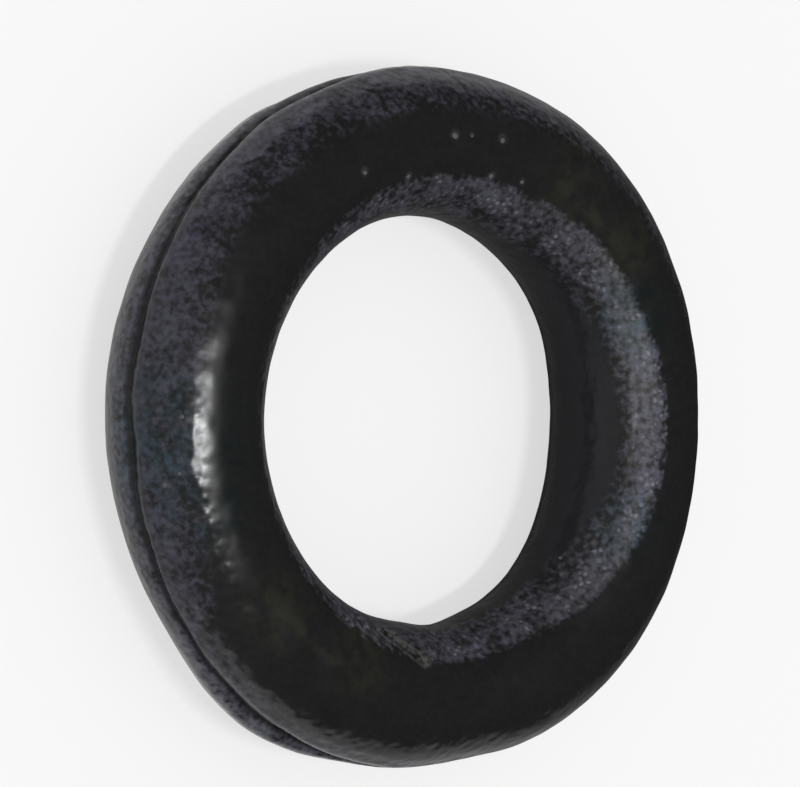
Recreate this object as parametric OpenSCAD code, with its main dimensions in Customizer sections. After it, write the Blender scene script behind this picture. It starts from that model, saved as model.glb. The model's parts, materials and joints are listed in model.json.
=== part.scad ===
// O-ring: one loop of moulded rubber with a round section.
// It lies flat, with +Z along its axis and its centre at the origin.
// The two halves of its mould met on the mid-plane. They left a shallow
// groove around the outside, with a rounded lip on each side of it, and
// a narrow land around the bore, where the flash was trimmed off.

/* [Ring] */
// Diameter of the bore
bore_d = 8; // [4:0.5:40]
// Diameter of the round section
section_d = 3; // [1.5:0.1:6]

/* [Parting groove] */
// Clear width of the groove between its two lips
groove_w = 0.24; // [0.1:0.02:0.4]
// Depth of the groove below the round of the section
groove_d = 0.12; // [0.06:0.01:0.2]
// Radius of the rounded lip on each side of the groove
lip_r = 0.07; // [0.04:0.01:0.1]
// Height that each lip stands above the round of the section
lip_rise = 0.015; // [0.005:0.005:0.03]

/* [Bore land] */
// Width of the flat land that trimming leaves around the bore
land_w = 0.3; // [0.1:0.05:0.6]

/* [Finish] */
// Number of steps around the ring when it is drawn
ring_steps = 144; // [48:12:240]
// Number of steps around the section when it is drawn
section_steps = 72; // [36:12:120]

/* [Hidden] */
section_r = section_d / 2;
bore_r = bore_d / 2;
// How far trimming the flash cuts into the round of the section
land_cut = section_r - sqrt(pow(section_r, 2) - pow(land_w / 2, 2));
// Radius of the circle that runs through the middle of the section
centre_r = bore_r + section_r - land_cut;
// Distance of a lip's centre from the middle of the section
lip_reach = section_r - lip_r + lip_rise;
// Height of a lip's centre above or below the mid-plane
lip_z = groove_w / 2 + lip_r;
// Radius of the groove's rounded floor, which ends under the lips
floor_r = (pow(lip_z, 2) + pow(groove_d, 2)) / (2 * groove_d);
lip_steps = 24;
slack = 1;

// The round of the section, cut flat where it meets the bore
module round_section() {
    intersection() {
        circle(r = section_r, $fn = section_steps);
        translate([land_cut - section_r, -section_r - slack])
            square([section_d + slack, section_d + 2 * slack]);
    }
}

// The groove's floor, an arc that is groove_d deep on the mid-plane
module groove_cut() {
    translate([section_r - groove_d + floor_r, 0])
        circle(r = floor_r, $fn = section_steps);
}

// The rounded lip on one side of the groove: side is 1 above it, -1 below
module lip(side) {
    translate([sqrt(pow(lip_reach, 2) - pow(lip_z, 2)), side * lip_z])
        circle(r = lip_r, $fn = lip_steps);
}

// The whole section, with the middle of its round at the origin
module section() {
    difference() {
        round_section();
        groove_cut();
    }
    for (side = [-1, 1]) lip(side);
}

module ring() {
    color([0.13, 0.13, 0.14])
        rotate_extrude($fn = ring_steps)
            translate([centre_r, 0])
                section();
}

ring();
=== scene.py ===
"""A black rubber o-ring lying flat on a pale floor under a soft studio light."""

import collections
import functools
import json
import math

import bmesh
import bpy
from mathutils import Matrix, Vector, noise


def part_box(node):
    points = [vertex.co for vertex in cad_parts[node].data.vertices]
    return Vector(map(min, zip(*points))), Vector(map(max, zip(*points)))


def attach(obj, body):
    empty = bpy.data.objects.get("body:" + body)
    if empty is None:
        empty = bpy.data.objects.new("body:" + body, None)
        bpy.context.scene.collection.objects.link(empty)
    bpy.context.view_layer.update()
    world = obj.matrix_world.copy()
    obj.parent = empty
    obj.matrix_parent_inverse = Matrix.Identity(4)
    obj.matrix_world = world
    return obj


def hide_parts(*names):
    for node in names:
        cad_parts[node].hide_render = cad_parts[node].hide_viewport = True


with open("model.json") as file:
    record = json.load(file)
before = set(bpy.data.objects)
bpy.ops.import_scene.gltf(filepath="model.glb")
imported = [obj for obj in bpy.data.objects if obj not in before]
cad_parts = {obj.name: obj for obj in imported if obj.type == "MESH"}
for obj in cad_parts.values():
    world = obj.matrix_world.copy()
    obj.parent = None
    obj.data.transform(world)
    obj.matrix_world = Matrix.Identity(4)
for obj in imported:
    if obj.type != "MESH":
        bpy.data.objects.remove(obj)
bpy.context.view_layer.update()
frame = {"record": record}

MM = 0.001

# ---------------------------------------------------------------- sizes taken from the solid
LOW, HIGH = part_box("ring")
BORE = next(mount for mount in frame["record"]["mounts"] if mount["name"] == "bore")
SECTION_R = (HIGH.z - LOW.z) / 2
BORE_R = BORE["dims"]["r_mm"] * MM
LAND_HALF = BORE["dims"]["length_mm"] * MM / 2
# The land around the bore is cut this deep into the round section
LAND_CUT = SECTION_R - math.sqrt(SECTION_R**2 - LAND_HALF**2)
CENTRE_R = BORE_R + SECTION_R - LAND_CUT
FLOOR_Z = LOW.z

# Places on the ring are given as a turn around the loop, from +X towards +Y, and a tilt around the
# section, from its outermost point over its top to its innermost point.

# ---------------------------------------------------------------- mesh steps
RING_STEPS = 480
SECTION_STEPS = 148
# Between these two tilts, around the groove, each step of the section is cut this many times more
GROOVE_FROM, GROOVE_TO = math.radians(-10), math.radians(24)
GROOVE_CUTS = 3
# The mesh keeps how far each of its points lies into the groove, for the finish to read, which thins the
# pale bloom there as painted shade
GROOVE_ATTRIBUTE = "into_groove"

# ---------------------------------------------------------------- the parting groove
# Its crease lies this far above the middle of the section, along the surface, and waves around the loop.
# Each wave: how many there are around the loop, their height, and where the first one peaks, in degrees.
CREASE_PLACE = 0.17 * MM
CREASE_WAVES = ((1, 0.05 * MM, -90), (2, 0.06 * MM, 0))
# It swells up at one place: where, how far to each side, both in degrees, and how high
CREASE_SWELLS = ((290, 17, 0.15 * MM),)
# The crease is a lopsided V: its depth, its reach below and above, and how hollow its sides are
CREASE_DEPTH = 0.10 * MM
CREASE_BELOW, CREASE_ABOVE = 0.20 * MM, 0.19 * MM
CREASE_HOLLOW = 1.4
# Below, it is narrower by this share on the +Y side, and as much wider on the -Y side
NARROWED = 0.55
# Above, it is wider by this share on the +X side, which fades over this many degrees to each side
WIDENED, WIDENED_REACH = 0.35, 38
# The swollen edges of the two mould halves: distance above the crease, rise and width
EDGES = ((0.31 * MM, 0.022 * MM, 0.13 * MM), (-0.36 * MM, 0.015 * MM, 0.22 * MM))
# How far the crease strays from its line, by what share its depth varies, and over what length
CREASE_STRAY = 0.05 * MM
CREASE_UNEVEN = 0.3
STRAY_LENGTH = 0.9 * MM
# The depth takes its noise from another place, so that it doesn't agree with the straying
UNEVEN_SHIFT = Vector((0, 0, 10))

# ---------------------------------------------------------------- how far the ring is out of true
# Each lobe: how many there are around the loop, their height, and where the first one peaks, in degrees
ROUND_LOBES = ((3, 0.04 * MM, -5), (4, 0.04 * MM, 40), (5, 0.03 * MM, -10))
SECTION_LOBES = ((1, 0.02 * MM, -80), (2, 0.03 * MM, -10))
WARP_LOBES = ((3, 0.03 * MM, 50), (4, 0.03 * MM, -25))
# This ring's section is slimmer than the solid's by this much of its radius
SECTION_LOSS = 0.015 * MM

# Each swelling or hollow: where it is and how far it reaches to each side, in degrees, and its height.
# Those of the lower half lie on its outer side, and fade towards its underside.
WHOLE_SWELLS = ((235, 30, 0.06 * MM), (98, 16, -0.08 * MM))
LOWER_SWELLS = ((56, 24, 0.205 * MM), (286, 17, -0.35 * MM))
# How soon one mould half gives way to the other across the mid-plane
HALVES_BLEND = 0.06

# Soft unevenness of the moulded skin: width and height of each size of dent
DENTS = ((0.9 * MM, 0.012 * MM), (0.35 * MM, 0.007 * MM))

# ---------------------------------------------------------------- the nick
# It runs from one place inside the ring to another, as turn and tilt in degrees
NICK_FROM, NICK_TO = (68.5, 136), (80.5, 116)
# The skin stands up this far along its upper side and sinks this far along its lower side
NICK_RISE, NICK_SINK = 0.05 * MM, 0.05 * MM
# How soon the rise and the sinking fade to the sides
NICK_RISE_FADE, NICK_SINK_FADE = 0.30 * MM, 0.08 * MM
# As shares of half its length: where it starts to fade at its ends, and over what length
NICK_ENDS_FROM, NICK_ENDS_OVER = 0.85, 0.3
# Further than this many times half its length from its middle, it does nothing
NICK_LIMIT = 4

Loop = collections.namedtuple("Loop", "radius rise section lower crease depth")
Nick = collections.namedtuple("Nick", "middle along across half")


# ---------------------------------------------------------------- the ring's shape
def lobes(group, turn):
    """Sum of a group of lobes at one turn around the loop."""
    return sum(height * math.cos(count * (turn - math.radians(peak))) for count, height, peak in group)


def hump(turn, place, reach):
    """One at a place on the loop, easing to nothing at its reach to either side."""
    away = abs((math.degrees(turn) - place + 180) % 360 - 180) / reach
    return 0.5 + 0.5 * math.cos(math.pi * away) if away < 1 else 0.0


def swells(group, turn):
    """Sum of a group of swellings and hollows at one turn around the loop."""
    return sum(height * hump(turn, place, reach) for place, reach, height in group)


def on_plain_ring(turn, tilt):
    """The point of a true ring at a turn around the loop and a tilt around its section."""
    from_axis = CENTRE_R + SECTION_R * math.cos(tilt)
    return Vector((from_axis * math.cos(turn), from_axis * math.sin(turn), SECTION_R * math.sin(tilt)))


def plain_spot(turn, tilt):
    """The same point, with the turn and the tilt in degrees."""
    return on_plain_ring(math.radians(turn), math.radians(tilt))


def into_groove(turn, from_crease):
    """How far into the parting groove a point lies, from 0 outside to 1 at the crease."""
    if from_crease < 0:
        reach = CREASE_BELOW * (1 - NARROWED * math.sin(turn))
    else:
        reach = CREASE_ABOVE * (1 + WIDENED * hump(turn, 0, WIDENED_REACH))
    return max(0.0, 1 - abs(from_crease) / reach)


def groove_height(turn, from_crease, depth):
    """Height of the surface near the parting groove, at a distance above its crease."""
    edges = sum(rise * math.exp(-(((from_crease - place) / width) ** 2)) for place, rise, width in EDGES)
    return edges - depth * into_groove(turn, from_crease) ** CREASE_HOLLOW


@functools.cache
def nick_frame():
    """The nick's middle, its direction, the way across it to its upper side, and half its length."""
    start, end = plain_spot(*NICK_FROM), plain_spot(*NICK_TO)
    middle = (start + end) / 2
    centre = Vector((middle.x, middle.y, 0)).normalized() * CENTRE_R
    along = (end - start).normalized()
    across = (middle - centre).cross(along).normalized()
    return Nick(middle, along, across, (end - start).length / 2)


def nick_height(plain):
    """Height that the nick gives the skin at a point of the plain ring."""
    nick = nick_frame()
    offset = plain - nick.middle
    past_end = max(0.0, abs(offset.dot(nick.along)) / nick.half - NICK_ENDS_FROM)
    share = 1 - min(1.0, past_end / NICK_ENDS_OVER)
    if share == 0 or offset.length > NICK_LIMIT * nick.half:
        return 0.0
    side = offset.dot(nick.across)
    if side > 0:
        return share * NICK_RISE * math.exp(-side / NICK_RISE_FADE)
    return -share * NICK_SINK * math.exp(side / NICK_SINK_FADE)


@functools.cache
def loop_at(turn):
    """The loop at one turn: radius, rise, section, lower swelling, crease place and crease depth."""
    around = Vector((math.cos(turn), math.sin(turn), 0)) * (CENTRE_R / STRAY_LENGTH)
    crease = CREASE_PLACE + lobes(CREASE_WAVES, turn) + swells(CREASE_SWELLS, turn)
    crease += CREASE_STRAY * noise.noise(around)
    uneven = 1 + CREASE_UNEVEN * noise.noise(around + UNEVEN_SHIFT)
    return Loop(
        radius=CENTRE_R + lobes(ROUND_LOBES, turn),
        rise=lobes(WARP_LOBES, turn),
        section=SECTION_R - SECTION_LOSS + lobes(SECTION_LOBES, turn) + swells(WHOLE_SWELLS, turn),
        lower=swells(LOWER_SWELLS, turn),
        crease=crease,
        depth=CREASE_DEPTH * uneven,
    )


def on_ring(turn, tilt):
    """The point of the real ring's skin at the same turn and tilt. It rests flat on the floor."""
    loop = loop_at(turn)
    plain = on_plain_ring(turn, tilt)
    below = (0.5 - 0.5 * math.tanh(math.sin(tilt) / HALVES_BLEND)) * max(0.0, math.cos(tilt))
    dents = sum(height * noise.noise(plain / width) for width, height in DENTS)
    groove = groove_height(turn, tilt * SECTION_R - loop.crease, loop.depth)
    radius = loop.section + below * loop.lower + groove + dents + nick_height(plain)
    from_axis = loop.radius + radius * math.cos(tilt)
    height = max(loop.rise + radius * math.sin(tilt), FLOOR_Z)
    return Vector((from_axis * math.cos(turn), from_axis * math.sin(turn), height))


def section_circle(bm):
    """One section of the ring, standing in the XZ plane, with extra points at the groove."""
    bmesh.ops.create_circle(bm, cap_ends=False, segments=SECTION_STEPS, radius=SECTION_R)
    bmesh.ops.rotate(bm, verts=bm.verts, cent=(0, 0, 0), matrix=Matrix.Rotation(math.pi / 2, 3, "X"))
    low, high = SECTION_R * math.sin(GROOVE_FROM), SECTION_R * math.sin(GROOVE_TO)
    edges = [e for e in bm.edges if all(v.co.x > 0 and low < v.co.z < high for v in e.verts)]
    bmesh.ops.subdivide_edges(bm, edges=edges, cuts=GROOVE_CUTS)
    bmesh.ops.translate(bm, verts=bm.verts, vec=(CENTRE_R, 0, 0))


def shape_ring(bm):
    """Moves each point of the plain loop to its real place, and notes how far into the groove it lies."""
    groove = bm.verts.layers.float.new(GROOVE_ATTRIBUTE)
    for v in bm.verts:
        # All points of one section get the same turn
        step = round(math.atan2(v.co.y, v.co.x) / (2 * math.pi) * RING_STEPS)
        turn = 2 * math.pi * step / RING_STEPS
        tilt = math.atan2(v.co.z, math.hypot(v.co.x, v.co.y) - CENTRE_R)
        v.co = on_ring(turn, tilt)
        v[groove] = into_groove(turn, tilt * SECTION_R - loop_at(turn).crease)


def make_ring():
    """The whole ring as one closed mesh."""
    bm = bmesh.new()
    section_circle(bm)
    bmesh.ops.spin(bm, geom=bm.verts[:] + bm.edges[:], cent=(0, 0, 0), axis=(0, 0, 1), dvec=(0, 0, 0),
                   angle=2 * math.pi, steps=RING_STEPS, use_merge=True, use_duplicate=False)
    shape_ring(bm)
    bmesh.ops.recalc_face_normals(bm, faces=bm.faces)
    for face in bm.faces:
        face.smooth = True
    return new_object("rubber_ring", bm)


def new_object(name, bm):
    """Turns a finished bmesh into an object of the scene."""
    mesh = bpy.data.meshes.new(name)
    bm.to_mesh(mesh)
    bm.free()
    made = bpy.data.objects.new(name, mesh)
    bpy.context.scene.collection.objects.link(made)
    return made


# ---------------------------------------------------------------- node helpers
def new_material(name):
    """An empty node material, with its tree and its output node."""
    material = bpy.data.materials.new(name)
    material.use_nodes = True
    tree = material.node_tree
    tree.nodes.clear()
    return material, tree, tree.nodes.new("ShaderNodeOutputMaterial")


def new_group(name, numbers, results):
    """An empty shader group with a place and named numbers going in and named numbers coming out."""
    tree = bpy.data.node_groups.new(name, "ShaderNodeTree")
    tree.interface.new_socket(name="Place", in_out="INPUT", socket_type="NodeSocketVector")
    for number in numbers:
        tree.interface.new_socket(name=number, in_out="INPUT", socket_type="NodeSocketFloat")
    for result in results:
        tree.interface.new_socket(name=result, in_out="OUTPUT", socket_type="NodeSocketFloat")
    return tree, tree.nodes.new("NodeGroupInput").outputs, tree.nodes.new("NodeGroupOutput").inputs


def put(tree, kind, inputs=None, **settings):
    """Adds a shader node. Each input is a value, or the socket of another node that it is linked to."""
    made = tree.nodes.new("ShaderNode" + kind)
    for name, value in settings.items():
        setattr(made, name, value)
    for name, value in (inputs or {}).items():
        if isinstance(value, bpy.types.NodeSocket):
            tree.links.new(value, made.inputs[name])
        else:
            made.inputs[name].default_value = value
    return made


def maths(tree, operation, first, second=0.0):
    """What a Math node makes of one or two numbers."""
    return put(tree, "Math", {0: first, 1: second}, operation=operation).outputs[0]


def product(tree, *factors):
    """All the factors times each other."""
    total = factors[0]
    for factor in factors[1:]:
        total = maths(tree, "MULTIPLY", total, factor)
    return total


def ramp(tree, value, low, high, to_low=0.0, to_high=1.0):
    """Eases from to_low to to_high while the value goes from low to high."""
    inputs = {"Value": value, "From Min": low, "From Max": high, "To Min": to_low, "To Max": to_high}
    return put(tree, "MapRange", inputs, interpolation_type="SMOOTHSTEP").outputs[0]


def blend(tree, share, first, second, kind="MIX"):
    """A colour between two colours, or between one and its product with the other."""
    return put(tree, "Mix", {0: share, 6: first, 7: second}, data_type="RGBA", blend_type=kind).outputs[2]


def grain(tree, place, size, detail):
    """Noise whose features have about one size, from 0 to 1."""
    return put(tree, "TexNoise", {"Vector": place, "Scale": 1 / size, "Detail": detail}).outputs[0]


@functools.cache
def speckles_group():
    """Noise of one scale, and the soft-edged speckles where it is high."""
    tree, given, result = new_group("speckles", ("Scale", "Detail", "Low", "High"), ("Noise", "Speckles"))
    scaled = {"Vector": given["Place"], "Scale": given["Scale"], "Detail": given["Detail"]}
    value = put(tree, "TexNoise", scaled).outputs[0]
    tree.links.new(value, result["Noise"])
    tree.links.new(ramp(tree, value, given["Low"], given["High"]), result["Speckles"])
    return tree


def speckles(tree, place, size, detail, low, high):
    """The outputs of the speckles group, with its values set."""
    inputs = {"Place": place, "Scale": 1 / size, "Detail": detail, "Low": low, "High": high}
    return put(tree, "Group", inputs, node_tree=speckles_group()).outputs


def shifted(tree, place, shift):
    """The same place moved along X, so that two noises of one size don't agree."""
    return put(tree, "VectorMath", {0: place, 1: (shift, 0, 0)}, operation="ADD").outputs[0]


def frayed(tree, noise_value, mask, low, high):
    """Patches where a noise is high, fewer and smaller as the mask fades."""
    fall = product(tree, maths(tree, "SUBTRACT", mask, 1), FRAY)
    patches = ramp(tree, maths(tree, "ADD", noise_value, fall), low, high)
    return product(tree, patches, ramp(tree, mask, *FRAY_ENDS))


def cells(tree, place, size):
    """Scattered points: the distance to the nearest, as a share of the spacing, and its chance number."""
    made = put(tree, "TexVoronoi", {"Vector": place, "Scale": 1 / size})
    chance = put(tree, "SeparateColor", {0: made.outputs["Color"]}).outputs[0]
    return made.outputs["Distance"], chance


def distance(tree, place, point):
    """Distance from a point."""
    return put(tree, "VectorMath", {0: place, 1: point}, operation="DISTANCE").outputs["Value"]


def from_line(tree, place, start, end):
    """Distance from the straight line between two points."""
    line = end - start
    offset = put(tree, "VectorMath", {0: place, 1: start}, operation="SUBTRACT").outputs[0]
    along = put(tree, "VectorMath", {0: offset, 1: line / line.length_squared}, operation="DOT_PRODUCT")
    share = put(tree, "Clamp", {"Value": along.outputs["Value"]}).outputs[0]
    nearest = put(tree, "VectorMath", {0: line, "Scale": share}, operation="SCALE").outputs[0]
    return distance(tree, offset, nearest)


# ---------------------------------------------------------------- the rubber's finish
# A span is a pair: where something is nothing, and where it is full. A longer one goes on with what it
# is at the first place and what it is at the second.

# Colours
RUBBER_BLACK = (0.0146, 0.0147, 0.0144, 1)
# The bloom's greys are partly painted light: the pale one is painted sheen on the lower half
BLOOM_AND_SHEEN_GREY = (0.077, 0.076, 0.103, 1)
PALE_BLOOM_AND_SHEEN = (0.145, 0.145, 0.176, 1)
# The scuffed band's grey is partly painted highlight
SCUFF_AND_HIGHLIGHT_GREY = (0.110, 0.110, 0.144, 1)
# The grains' pale colour is painted glints
GRAIN_GLINT_PALE = (0.34, 0.34, 0.38, 1)
PALE_OLIVE = (0.031, 0.031, 0.024, 1)
# The nick's painted highlight and painted shade
NICK_LIP_HIGHLIGHT = (0.095, 0.093, 0.086, 1)
NICK_CREVICE_SHADE = (0.005, 0.005, 0.005, 1)

# Shine
SPECULAR = 0.42
SKIN_ROUGHNESS = 0.205
SCUFF_ROUGHNESS = 0.48
# What the cloudy noise adds to the roughness
ROUGHNESS_CLOUD = (0.3, 0.7, -0.02, 0.05)

# Noises across the surface: the size of their features, and their detail
MOTTLE = (0.125 * MM, 1.5)
CLOUD = (0.50 * MM, 2.0)
SWELL = (0.20 * MM, 0.0)
CLOUD_SHIFT = 11 * MM
# The mottling is made of these shares of the fine noise and the cloudy one
MOTTLE_SHARE, CLOUD_SHARE = 0.66, 0.34
# How far a fading mask lowers the noise of a frayed edge, and the span of the mask where patches begin
FRAY = 0.16
FRAY_ENDS = (0.0, 0.2)

# Heights of the skin's bump
SWELL_HEIGHT = 0.017 * MM
CLOUD_HEIGHT = 0.022 * MM
GRAIN_HEIGHT = 0.004 * MM
# The share of them that is left towards the smooth crest, by the height of the place
CREST_UP = (1.25 * MM, 1.42 * MM, 1.0, 0.12)

# The bloom on the outer slope, partly real mottled bloom and partly painted light: its pale patches lie
# where that slope is lit and catches sheen. Spans of the distance inward, of the height and of the
# mottling
BLOOM_SHEEN_INWARD = (-0.15 * MM, -0.9 * MM)
BLOOM_SHEEN_UP = (1.30 * MM, 0.30 * MM)
BLOOM_SHEEN_PATCHES = (0.27, 0.72)
# It reaches higher on the -Y side, where this share of y is added to the height, and on the +X side,
# where this is added over a span of x
BLOOM_SHEEN_LEAN = 0.055
BLOOM_SHEEN_LIFT = (5.2 * MM, 6.4 * MM, 0.0, -0.45 * MM)
# How much of it is left in the groove, where thinning it is painted shade, and the heights over which it
# turns paler below the groove, as painted sheen
GROOVE_PAINTED_SHADE = (0.80, 0.20, 0.2, 1.0)
SHEEN_PALE_UP = (0.3 * MM, -0.1 * MM)

# The scuffed band on the inner slope, rougher, and painted paler where the highlight falls there, as
# painted highlight: its edges towards the crest and the bore, as distances inward, where it ends towards
# the +X side and the bottom, and its patches in the mottling
BAND_CREST_EDGE = (0.12 * MM, 0.34 * MM)
BAND_BORE_EDGE = (1.05 * MM, 0.55 * MM)
BAND_ALONG = (5.2 * MM, 1.0 * MM)
BAND_UP = (0.2 * MM, 0.5 * MM)
BAND_PATCHES = (0.30, 0.68)
# From this far on the -X side it drifts inward, by this share of the way along X, and this far at most
DRIFT_FROM, DRIFT_SHARE, DRIFT_MOST = 5.5 * MM, 0.15, 0.55 * MM
# It is strongest on the -X side
BAND_STRENGTH = (-3.0 * MM, -5.5 * MM, 0.65, 1.0)

# Its grains, raised by the bump and painted pale as painted glints: their spacing, the size of the noise
# that moves them and how far, as a share of the spacing
GRAIN_SPACING = 0.12 * MM
GRAIN_WANDER = 0.12 * MM
GRAIN_STRAY = 0.9
# Their edges as shares of the spacing, the chance numbers of those that show, and their patches
GRAIN_EDGE = (0.55, 0.10)
GRAIN_CHANCE = (0.25, 1.0)
GRAIN_PATCHES = (0.35, 0.55)
# How much a grain's painted glint shows
GRAIN_SHARE = 0.60

# Dust even on the plain rubber, in the mottling's patches, and more on the bore's wall on the -X side
DUST_PATCHES = (0.30, 0.70, 0.0, 0.05)
HAZE_INWARD = (1.05 * MM, 1.35 * MM)
HAZE_ALONG = (-1.0 * MM, -4.0 * MM, 0.0, 0.12)

# Faint tints: turn and tilt in degrees, how far they reach, and what they multiply the colour by
TEAL = (0.66, 0.95, 0.95, 1)
OLIVE = (1.42, 1.42, 1.10, 1)
VIOLET = (1.03, 0.99, 1.06, 1)
TINTS = (
    (-156, 114, 1.2 * MM, TEAL), (4, 38, 2.2 * MM, TEAL), (17, 66, 0.9 * MM, TEAL),
    (154, 118, 1.0 * MM, TEAL), (-122, 92, 1.2 * MM, OLIVE), (-142, 90, 1.1 * MM, OLIVE),
    (40, 84, 1.1 * MM, OLIVE), (62, 100, 1.1 * MM, OLIVE), (-30, 35, 1.2 * MM, VIOLET),
    (-95, 55, 1.3 * MM, VIOLET), (100, 128, 1.2 * MM, VIOLET), (165, 118, 1.4 * MM, VIOLET),
)
# A tint is full within this share of its reach
TINT_CORE = 0.2
# Tints and pale lines show only in broken patches: the noise's size and detail, and its span
BROKEN = (0.35 * MM, 4.0, 0.35, 0.60)
BROKEN_SHIFT = 43 * MM

# Pale lines along the crest, through places given as turn and tilt in degrees
CREST_LINES = (
    ((34, 80), (45, 87)), ((45, 87), (58, 85)),
    ((-117, 98), (-131, 100)), ((-131, 100), (-145, 95)),
)
# Half their width, and how much they show
CREST_LINE_HALF = 0.20 * MM
CREST_LINE_SHARE = 0.55

# The nick's pale upper side, a painted highlight on its raised lip: half its width, how far up it lies
# and where it is full, as shares of that, and its patches in the mottling
NICK_PALE_HALF = 0.20 * MM
NICK_PALE_ASIDE, NICK_PALE_CORE = 0.5, 0.2
NICK_PALE_PATCHES = (0.35, 0.58)
# Its dark crevice, painted shade: half its width, and how much it shows
NICK_DARK_HALF = 0.05 * MM
NICK_DARK_SHARE = 0.8

# ---------------------------------------------------------------- the crumbs
# Pale crumbs stuck to the skin: turn and tilt in degrees, and radius
CRUMBS = (
    (-88.6, 89, 0.060 * MM), (-101, 87, 0.055 * MM), (-63.7, 97.6, 0.050 * MM), (-84.9, 121, 0.050 * MM),
    (-100.6, 116, 0.050 * MM), (-109, 112, 0.040 * MM), (-0.6, 52.5, 0.040 * MM), (8.8, 48, 0.040 * MM),
    (10.5, 36, 0.050 * MM), (178.5, 105.6, 0.050 * MM), (-93, 88, 0.030 * MM), (-76, 116, 0.050 * MM),
    (171, 104, 0.040 * MM), (156, 199, 0.040 * MM), (138.7, 154, 0.045 * MM), (136, 131, 0.050 * MM),
)
# How high a crumb stands, as a share of its radius, and how finely it is divided
CRUMB_FLAT = 0.3
CRUMB_STEPS = 3
# How lumpy a crumb is, as a share of its size, and the size of its lumps
CRUMB_LUMPY, CRUMB_LUMP = 0.35, 0.08 * MM
CRUMB_GREY = (0.08, 0.083, 0.085, 1)
CRUMB_PALE = (0.115, 0.12, 0.125, 1)
# The grain of a crumb: the noise's size and detail, and its span from grey to pale
CRUMB_GRAIN = (0.03 * MM, 3.0, 0.35, 0.65)
CRUMB_ROUGHNESS = (0.3, 0.7, 0.35, 0.6)
# The dust around it: where it ends and where it is full, as shares of the radius, and how much it shows
CRUMB_DUST_REACH, CRUMB_DUST_CORE = 2.8, 0.4
CRUMB_DUST_SHARE = 0.50
# The fine noise thins that dust
CRUMB_DUST_BROKEN = (0.3, 0.6, 0.4, 1.0)

Spot = collections.namedtuple("Spot", "place x y z inward")


def where_on_ring(tree):
    """Where a point is: its place, its three coordinates, and how far inward of the section's middle."""
    place = put(tree, "TexCoord").outputs["Object"]
    x, y, z = put(tree, "SeparateXYZ", {0: place}).outputs
    flat = put(tree, "VectorMath", {0: place, 1: (1, 1, 0)}, operation="MULTIPLY").outputs[0]
    from_axis = put(tree, "VectorMath", {0: flat}, operation="LENGTH").outputs["Value"]
    return Spot(place, x, y, z, maths(tree, "SUBTRACT", CENTRE_R, from_axis))


def bloom_and_sheen_cover(tree, spot, mottling):
    """Where the bloom and its painted light lie: in patches on the outer slope, and thin in the groove,
    as painted shade.
    """
    up_side = maths(tree, "ADD", spot.z, product(tree, spot.y, BLOOM_SHEEN_LEAN))
    up_side = maths(tree, "ADD", up_side, ramp(tree, spot.x, *BLOOM_SHEEN_LIFT))
    outside = product(tree, ramp(tree, spot.inward, *BLOOM_SHEEN_INWARD), ramp(tree, up_side, *BLOOM_SHEEN_UP))
    groove = put(tree, "Attribute", attribute_name=GROOVE_ATTRIBUTE).outputs["Fac"]
    patches = frayed(tree, mottling, outside, *BLOOM_SHEEN_PATCHES)
    # Less of it in the groove: painted shade
    return product(tree, patches, ramp(tree, groove, *GROOVE_PAINTED_SHADE))


def band_cover(tree, spot):
    """Where the scuffed band lies on the inner slope, painted paler as painted highlight. It drifts
    inward away from the -X side, as the highlight does.
    """
    drift = product(tree, maths(tree, "ADD", spot.x, DRIFT_FROM), DRIFT_SHARE)
    into_band = maths(tree, "SUBTRACT", spot.inward, maths(tree, "MINIMUM", drift, DRIFT_MOST))
    edges = (ramp(tree, into_band, *BAND_CREST_EDGE), ramp(tree, into_band, *BAND_BORE_EDGE))
    return product(tree, *edges, ramp(tree, spot.x, *BAND_ALONG), ramp(tree, spot.z, *BAND_UP))


def scattered_grains(tree, place):
    """Grains whose places wander, painted pale as painted glints. How pale and high each one is is left
    to chance.
    """
    wander = put(tree, "TexNoise", {"Vector": place, "Scale": 1 / GRAIN_WANDER}).outputs["Color"]
    stray = {0: wander, "Scale": GRAIN_STRAY * GRAIN_SPACING}
    wander = put(tree, "VectorMath", stray, operation="SCALE").outputs[0]
    bent = put(tree, "VectorMath", {0: place, 1: wander}, operation="ADD").outputs[0]
    away, chance = cells(tree, bent, GRAIN_SPACING)
    return product(tree, ramp(tree, away, *GRAIN_EDGE), ramp(tree, chance, *GRAIN_CHANCE))


def dusty_rubber(tree, spot, mottling):
    """Black rubber with a little bloom all over it, and more on the dusty wall of the bore."""
    haze = product(tree, ramp(tree, spot.inward, *HAZE_INWARD), ramp(tree, spot.x, *HAZE_ALONG))
    dust = maths(tree, "ADD", ramp(tree, mottling, *DUST_PATCHES), haze)
    return blend(tree, dust, RUBBER_BLACK, BLOOM_AND_SHEEN_GREY)


def tinted(tree, place, broken, colour):
    """Multiplies a colour by the faint tints."""
    for turn, tilt, reach, tint in TINTS:
        away = distance(tree, place, plain_spot(turn, tilt))
        share = product(tree, broken, ramp(tree, away, reach, TINT_CORE * reach))
        colour = blend(tree, share, colour, tint, "MULTIPLY")
    return colour


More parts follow.
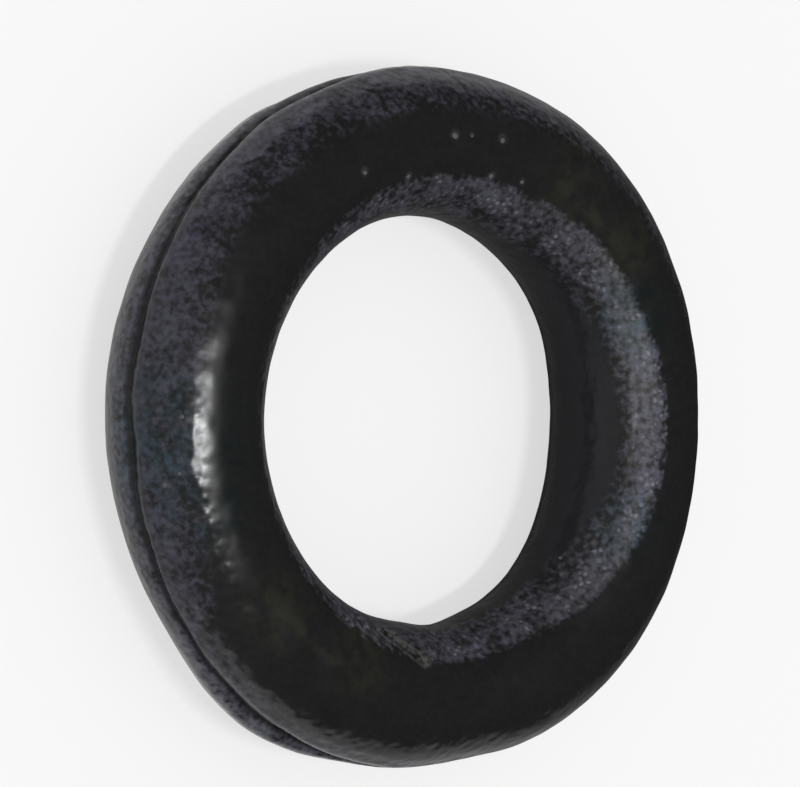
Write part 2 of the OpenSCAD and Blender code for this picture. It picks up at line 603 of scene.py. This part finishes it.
def with_lines(tree, place, broken, mottling, colour):
    """Lays the pale crest lines, and the nick's painted highlight and painted shade, over a colour."""
    for start, end in CREST_LINES:
        away = from_line(tree, place, plain_spot(*start), plain_spot(*end))
        near = ramp(tree, away, CREST_LINE_HALF, 0.0)
        colour = blend(tree, product(tree, near, broken, CREST_LINE_SHARE), colour, PALE_OLIVE)
    nick = nick_frame()
    start, end = nick.middle - nick.along * nick.half, nick.middle + nick.along * nick.half
    aside = nick.across * NICK_PALE_HALF * NICK_PALE_ASIDE
    away = from_line(tree, place, start + aside, end + aside)
    near = ramp(tree, away, NICK_PALE_HALF, NICK_PALE_CORE * NICK_PALE_HALF)
    colour = blend(tree, product(tree, near, ramp(tree, mottling, *NICK_PALE_PATCHES)), colour, NICK_LIP_HIGHLIGHT)
    near = ramp(tree, from_line(tree, place, start, end), NICK_DARK_HALF, 0.0)
    return blend(tree, product(tree, near, NICK_DARK_SHARE), colour, NICK_CREVICE_SHADE)


def dusted_near_crumbs(tree, place, mottle, colour):
    """Lays a little pale dust around each crumb over a colour."""
    broken = ramp(tree, mottle, *CRUMB_DUST_BROKEN)
    for turn, tilt, radius in CRUMBS:
        away = distance(tree, place, plain_spot(turn, tilt))
        reach, core = CRUMB_DUST_REACH * radius, CRUMB_DUST_CORE * radius
        share = ramp(tree, away, reach, core, 0, CRUMB_DUST_SHARE)
        colour = blend(tree, product(tree, share, broken), colour, CRUMB_GREY)
    return colour


def skin_bump(tree, spot, cloud, grains, band):
    """The bump of the skin, faint on the crest and in full on the scuffed band."""
    raised = product(tree, grain(tree, spot.place, *SWELL), SWELL_HEIGHT / MM)
    rolling = product(tree, cloud, CLOUD_HEIGHT / MM)
    standing = product(tree, grains, GRAIN_HEIGHT / MM)
    height = maths(tree, "ADD", maths(tree, "ADD", raised, rolling), standing)
    strength = maths(tree, "MAXIMUM", ramp(tree, spot.z, *CREST_UP), band)
    return put(tree, "Bump", {"Height": product(tree, height, strength), "Distance": MM}).outputs[0]


def rubber():
    """Black moulded rubber: mottled bloom outside, partly painted light, with painted shade in the
    groove; a smooth dark crest;
    a dull scuffed band inside, painted paler as painted highlight.
    """
    material, tree, output = new_material("black_rubber")
    spot = where_on_ring(tree)
    mottle = grain(tree, spot.place, *MOTTLE)
    cloud = grain(tree, shifted(tree, spot.place, CLOUD_SHIFT), *CLOUD)
    mottling = maths(tree, "ADD", product(tree, mottle, MOTTLE_SHARE), product(tree, cloud, CLOUD_SHARE))
    broken = speckles(tree, shifted(tree, spot.place, BROKEN_SHIFT), *BROKEN)["Speckles"]

    band = band_cover(tree, spot)
    strong = ramp(tree, spot.x, *BAND_STRENGTH)
    scuff_and_highlight = product(tree, frayed(tree, mottling, band, *BAND_PATCHES), strong)
    in_patches = ramp(tree, cloud, *GRAIN_PATCHES)
    grains = product(tree, scattered_grains(tree, spot.place), band, strong, in_patches)

    # The bloom turns paler on the lower half, as painted sheen
    bloom = blend(tree, ramp(tree, spot.z, *SHEEN_PALE_UP), BLOOM_AND_SHEEN_GREY, PALE_BLOOM_AND_SHEEN)
    colour = blend(tree, bloom_and_sheen_cover(tree, spot, mottling), dusty_rubber(tree, spot, mottling), bloom)
    # The scuffed band, painted paler as painted highlight
    colour = blend(tree, scuff_and_highlight, colour, SCUFF_AND_HIGHLIGHT_GREY)
    # Pale grains: painted glints
    colour = blend(tree, product(tree, grains, GRAIN_SHARE), colour, GRAIN_GLINT_PALE)
    colour = with_lines(tree, spot.place, broken, mottling, tinted(tree, spot.place, broken, colour))
    colour = dusted_near_crumbs(tree, spot.place, mottle, colour)

    dullness = ramp(tree, band, 0, 1, SKIN_ROUGHNESS, SCUFF_ROUGHNESS)
    shader = put(tree, "BsdfPrincipled", {
        "Base Color": colour,
        "Roughness": maths(tree, "ADD", dullness, ramp(tree, cloud, *ROUGHNESS_CLOUD)),
        "Specular IOR Level": SPECULAR,
        "Normal": skin_bump(tree, spot, cloud, grains, band),
    })
    tree.links.new(shader.outputs[0], output.inputs["Surface"])
    return material


# ---------------------------------------------------------------- grit
def make_grit():
    """Small crumbs half sunk in the rubber, as one piece."""
    bm = bmesh.new()
    for turn, tilt, radius in CRUMBS:
        turn, tilt = math.radians(turn), math.radians(tilt)
        out = Vector((math.cos(turn) * math.cos(tilt), math.sin(turn) * math.cos(tilt), math.sin(tilt)))
        place = on_ring(turn, tilt)
        matrix = Matrix.Translation(place) @ out.to_track_quat("Z", "Y").to_matrix().to_4x4()
        matrix = matrix @ Matrix.Diagonal((1, 1, CRUMB_FLAT, 1))
        made = bmesh.ops.create_icosphere(bm, subdivisions=CRUMB_STEPS, radius=radius, matrix=matrix)
        for v in made["verts"]:
            v.co += (v.co - place) * CRUMB_LUMPY * noise.noise(v.co / CRUMB_LUMP)
    for face in bm.faces:
        face.smooth = True
    return new_object("grit", bm)


def grit():
    """Pale dusty mineral crumbs."""
    material, tree, output = new_material("pale_grit")
    dust = speckles(tree, put(tree, "TexCoord").outputs["Object"], *CRUMB_GRAIN)
    shader = put(tree, "BsdfPrincipled", {
        "Base Color": blend(tree, dust["Speckles"], CRUMB_GREY, CRUMB_PALE),
        "Roughness": ramp(tree, dust["Noise"], *CRUMB_ROUGHNESS),
        "Specular IOR Level": SPECULAR,
    })
    tree.links.new(shader.outputs[0], output.inputs["Surface"])
    return material


# ---------------------------------------------------------------- camera
FRAME_W, FRAME_H = 800, 787
CAMERA_ELEVATION = math.radians(52.2)
CAMERA_TURN = math.radians(-0.1)
CAMERA_DISTANCE = 18.78 * CENTRE_R
CAMERA_SEES_FROM, CAMERA_SEES_TO = 5 * MM, 10
SENSOR = 36.0
# The radius of the loop in the frame, and the pixel at which its centre lies
PIXELS_PER_RADIUS = 279.0
CENTRE_PIXEL = (413.9, 418.4)


def make_camera():
    """Looks down at the ring from the +X side, rolled so that the way up in the world points right."""
    data = bpy.data.cameras.new("camera")
    data.sensor_width = SENSOR
    focal_pixels = PIXELS_PER_RADIUS * CAMERA_DISTANCE / CENTRE_R
    data.lens = focal_pixels * SENSOR / FRAME_W
    data.clip_start, data.clip_end = CAMERA_SEES_FROM, CAMERA_SEES_TO
    camera = bpy.data.objects.new("camera", data)
    bpy.context.scene.collection.objects.link(camera)
    level = Vector((math.cos(CAMERA_TURN), math.sin(CAMERA_TURN), 0))
    back = level * math.cos(CAMERA_ELEVATION) + Vector((0, 0, math.sin(CAMERA_ELEVATION)))
    up = level.cross(Vector((0, 0, 1)))
    right = up.cross(back)
    pixel = CENTRE_R / PIXELS_PER_RADIUS
    aside = (CENTRE_PIXEL[0] - FRAME_W / 2) * pixel
    below = (CENTRE_PIXEL[1] - FRAME_H / 2) * pixel
    place = back * CAMERA_DISTANCE - right * aside + up * below
    turn = Matrix((right, up, back)).transposed()
    camera.matrix_world = Matrix.Translation(place) @ turn.to_4x4()
    bpy.context.scene.camera = camera


# ---------------------------------------------------------------- light
SOFTBOX_TOWARD = (0.145, 0.09, 0.985)
SOFTBOX_DISTANCE = 0.30
SOFTBOX_SIZE = (0.018, 0.085)
SOFTBOX_RADIANCE = 60.0
# The sky is white where it is seen, and this bright where it only lights the ring
SKY_DIM = 0.68


def seen_directly_or_mirrored(tree):
    """One for rays from the camera, off a glossy surface or through glass."""
    path = put(tree, "LightPath").outputs
    mirrored = maths(tree, "MAXIMUM", path["Is Glossy Ray"], path["Is Transmission Ray"])
    return maths(tree, "MAXIMUM", path["Is Camera Ray"], mirrored)


def make_softbox():
    """A long narrow lamp high above the ring. It makes the highlight."""
    data = bpy.data.lights.new("softbox", "AREA")
    data.shape = "RECTANGLE"
    data.size, data.size_y = SOFTBOX_SIZE
    data.energy = SOFTBOX_RADIANCE * math.pi * data.size * data.size_y
    lamp = bpy.data.objects.new("softbox", data)
    bpy.context.scene.collection.objects.link(lamp)
    toward = Vector(SOFTBOX_TOWARD).normalized()
    lamp.location = toward * SOFTBOX_DISTANCE
    lamp.rotation_mode = "QUATERNION"
    lamp.rotation_quaternion = toward.to_track_quat("Z", "Y")


def make_sky():
    """An even white sky all around."""
    world = bpy.data.worlds.new("studio")
    bpy.context.scene.world = world
    world.use_nodes = True
    tree = world.node_tree
    tree.nodes.clear()
    level = put(tree, "MapRange", {"Value": seen_directly_or_mirrored(tree), "To Min": SKY_DIM})
    sky = put(tree, "Background", {"Strength": level.outputs[0]})
    output = put(tree, "OutputWorld")
    tree.links.new(sky.outputs[0], output.inputs["Surface"])


# ---------------------------------------------------------------- floor and cards
FLOOR_SIZE = 4.0
# It lies just clear of the flats that the ring rests on
FLOOR_GAP = 0.002 * MM
# The floor's own colour and its glow to the eye add up to white
FLOOR_WHITE = 0.36
FLOOR_GLOW = 0.64

CARD_STEPS = 48
CARD_BLACK = 0.02
# A lying card lies this far above the floor
CARD_LIFT = 0.02 * MM
# The standing card is a dome that is open at the top: its radius, and how high it reaches in degrees
DOME_R = 150 * MM
DOME_RISE = 78
DOME_STEPS = 12
# What a black card covers, by the angle from the far side, -X, in degrees: all of it up to one angle, its
# least from another, and a share of the near side again, which it reaches between two more
NEAR_SIDE = {"Near From": 120, "Near To": 148}
STANDING_COVER = {"Full To": 75, "Least From": 175, "Least": 0.62, **NEAR_SIDE, "Near": 0.0}
LYING_COVER = {"Full To": 5, "Least From": 140, "Least": 0.0, **NEAR_SIDE, "Near": 0.40}
# The grey card in the hole is a painted shadow: it stands for the ring's shade on the floor there, as
# reflections see it.
# It reaches from a tiny eye to just short of where the ring touches the floor
HOLE_CARD_EYE_R = 0.1 * MM
HOLE_CARD_R = CENTRE_R - 0.1 * MM
HOLE_SHADE_GREY = 0.24


def pale_floor():
    """White to the eye and in reflections, with the ring's shadow kept. From below it is see-through."""
    material, tree, output = new_material("pale_floor")
    glow = put(tree, "Emission", {"Strength": product(tree, seen_directly_or_mirrored(tree), FLOOR_GLOW)})
    matt = put(tree, "BsdfDiffuse", {"Color": (FLOOR_WHITE, FLOOR_WHITE, FLOOR_WHITE, 1)})
    both = put(tree, "AddShader", {0: glow.outputs[0], 1: matt.outputs[0]})
    from_below = put(tree, "NewGeometry").outputs["Backfacing"]
    clear = put(tree, "BsdfTransparent")
    sides = put(tree, "MixShader", {0: from_below, 1: both.outputs[0], 2: clear.outputs[0]})
    tree.links.new(sides.outputs[0], output.inputs["Surface"])
    return material


def make_floor():
    """The pale floor that the ring lies on."""
    bm = bmesh.new()
    bmesh.ops.create_grid(bm, x_segments=1, y_segments=1, size=FLOOR_SIZE / 2)
    bmesh.ops.translate(bm, verts=bm.verts, vec=(0, 0, FLOOR_Z - FLOOR_GAP))
    floor = new_object("floor", bm)
    floor.data.materials.append(pale_floor())


@functools.cache
def cover_group():
    """A black card's cover, by the angle from the far side."""
    tree, given, result = new_group("cover_around", LYING_COVER, ("Cover",))
    around = put(tree, "TexGradient", {"Vector": given["Place"]}, gradient_type="RADIAL").outputs["Fac"]
    from_near_side = maths(tree, "ABSOLUTE", maths(tree, "SUBTRACT", around, 0.5))
    angle = product(tree, maths(tree, "SUBTRACT", 0.5, from_near_side), 360)
    far = ramp(tree, angle, given["Least From"], given["Full To"], given["Least"], 1.0)
    near = ramp(tree, angle, given["Near From"], given["Near To"], 0.0, given["Near"])
    tree.links.new(maths(tree, "MAXIMUM", far, near), result["Cover"])
    return tree


def card_finish(name, grey, cover=None):
    """A matt card, see-through where its cover is thin. Without a cover, all of it is there."""
    material, tree, output = new_material(name)
    face = put(tree, "BsdfDiffuse", {"Color": (grey, grey, grey, 1)})
    if cover:
        place = put(tree, "TexCoord").outputs["Object"]
        share = put(tree, "Group", {"Place": place, **cover}, node_tree=cover_group()).outputs["Cover"]
        clear = put(tree, "BsdfTransparent")
        face = put(tree, "MixShader", {0: share, 1: clear.outputs[0], 2: face.outputs[0]})
    tree.links.new(face.outputs[0], output.inputs["Surface"])
    return material


def make_card(name, profile, finish):
    """Turns a profile of (distance from the axis, height) about Z. Only reflections see the card."""
    bm = bmesh.new()
    points = [bm.verts.new((radius, 0, height)) for radius, height in profile]
    lines = [bm.edges.new(pair) for pair in zip(points, points[1:])]
    bmesh.ops.spin(bm, geom=points + lines, cent=(0, 0, 0), axis=(0, 0, 1), dvec=(0, 0, 0),
                   angle=2 * math.pi, steps=CARD_STEPS, use_merge=True, use_duplicate=False)
    card = new_object(name, bm)
    card.data.materials.append(finish)
    card.visible_camera = False
    card.visible_diffuse = False
    card.visible_shadow = False
    card.visible_transmission = False


def make_cards():
    """Cards around the ring and in its hole that shade its reflections."""
    rises = [math.radians(DOME_RISE * step / DOME_STEPS) for step in range(DOME_STEPS + 1)]
    dome = [(DOME_R * math.cos(rise), FLOOR_Z + DOME_R * math.sin(rise)) for rise in rises]
    low = FLOOR_Z + CARD_LIFT
    around = [(HOLE_CARD_R, low), (DOME_R, low)]
    in_hole = [(HOLE_CARD_EYE_R, low), (HOLE_CARD_R, low)]
    make_card("standing_card", dome, card_finish("standing_card", CARD_BLACK, STANDING_COVER))
    make_card("lying_card", around, card_finish("lying_card", CARD_BLACK, LYING_COVER))
    # The hole's card: painted shadow, seen in reflections
    make_card("hole_shade_card", in_hole, card_finish("hole_shade_card", HOLE_SHADE_GREY))


make_camera()
ring = make_ring()
ring.data.materials.append(rubber())
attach(ring, "root")
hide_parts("ring")
crumbs = make_grit()
crumbs.data.materials.append(grit())
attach(crumbs, "root")
make_floor()
make_cards()
make_softbox()
make_sky()
bpy.context.scene.view_settings.view_transform = "Standard"
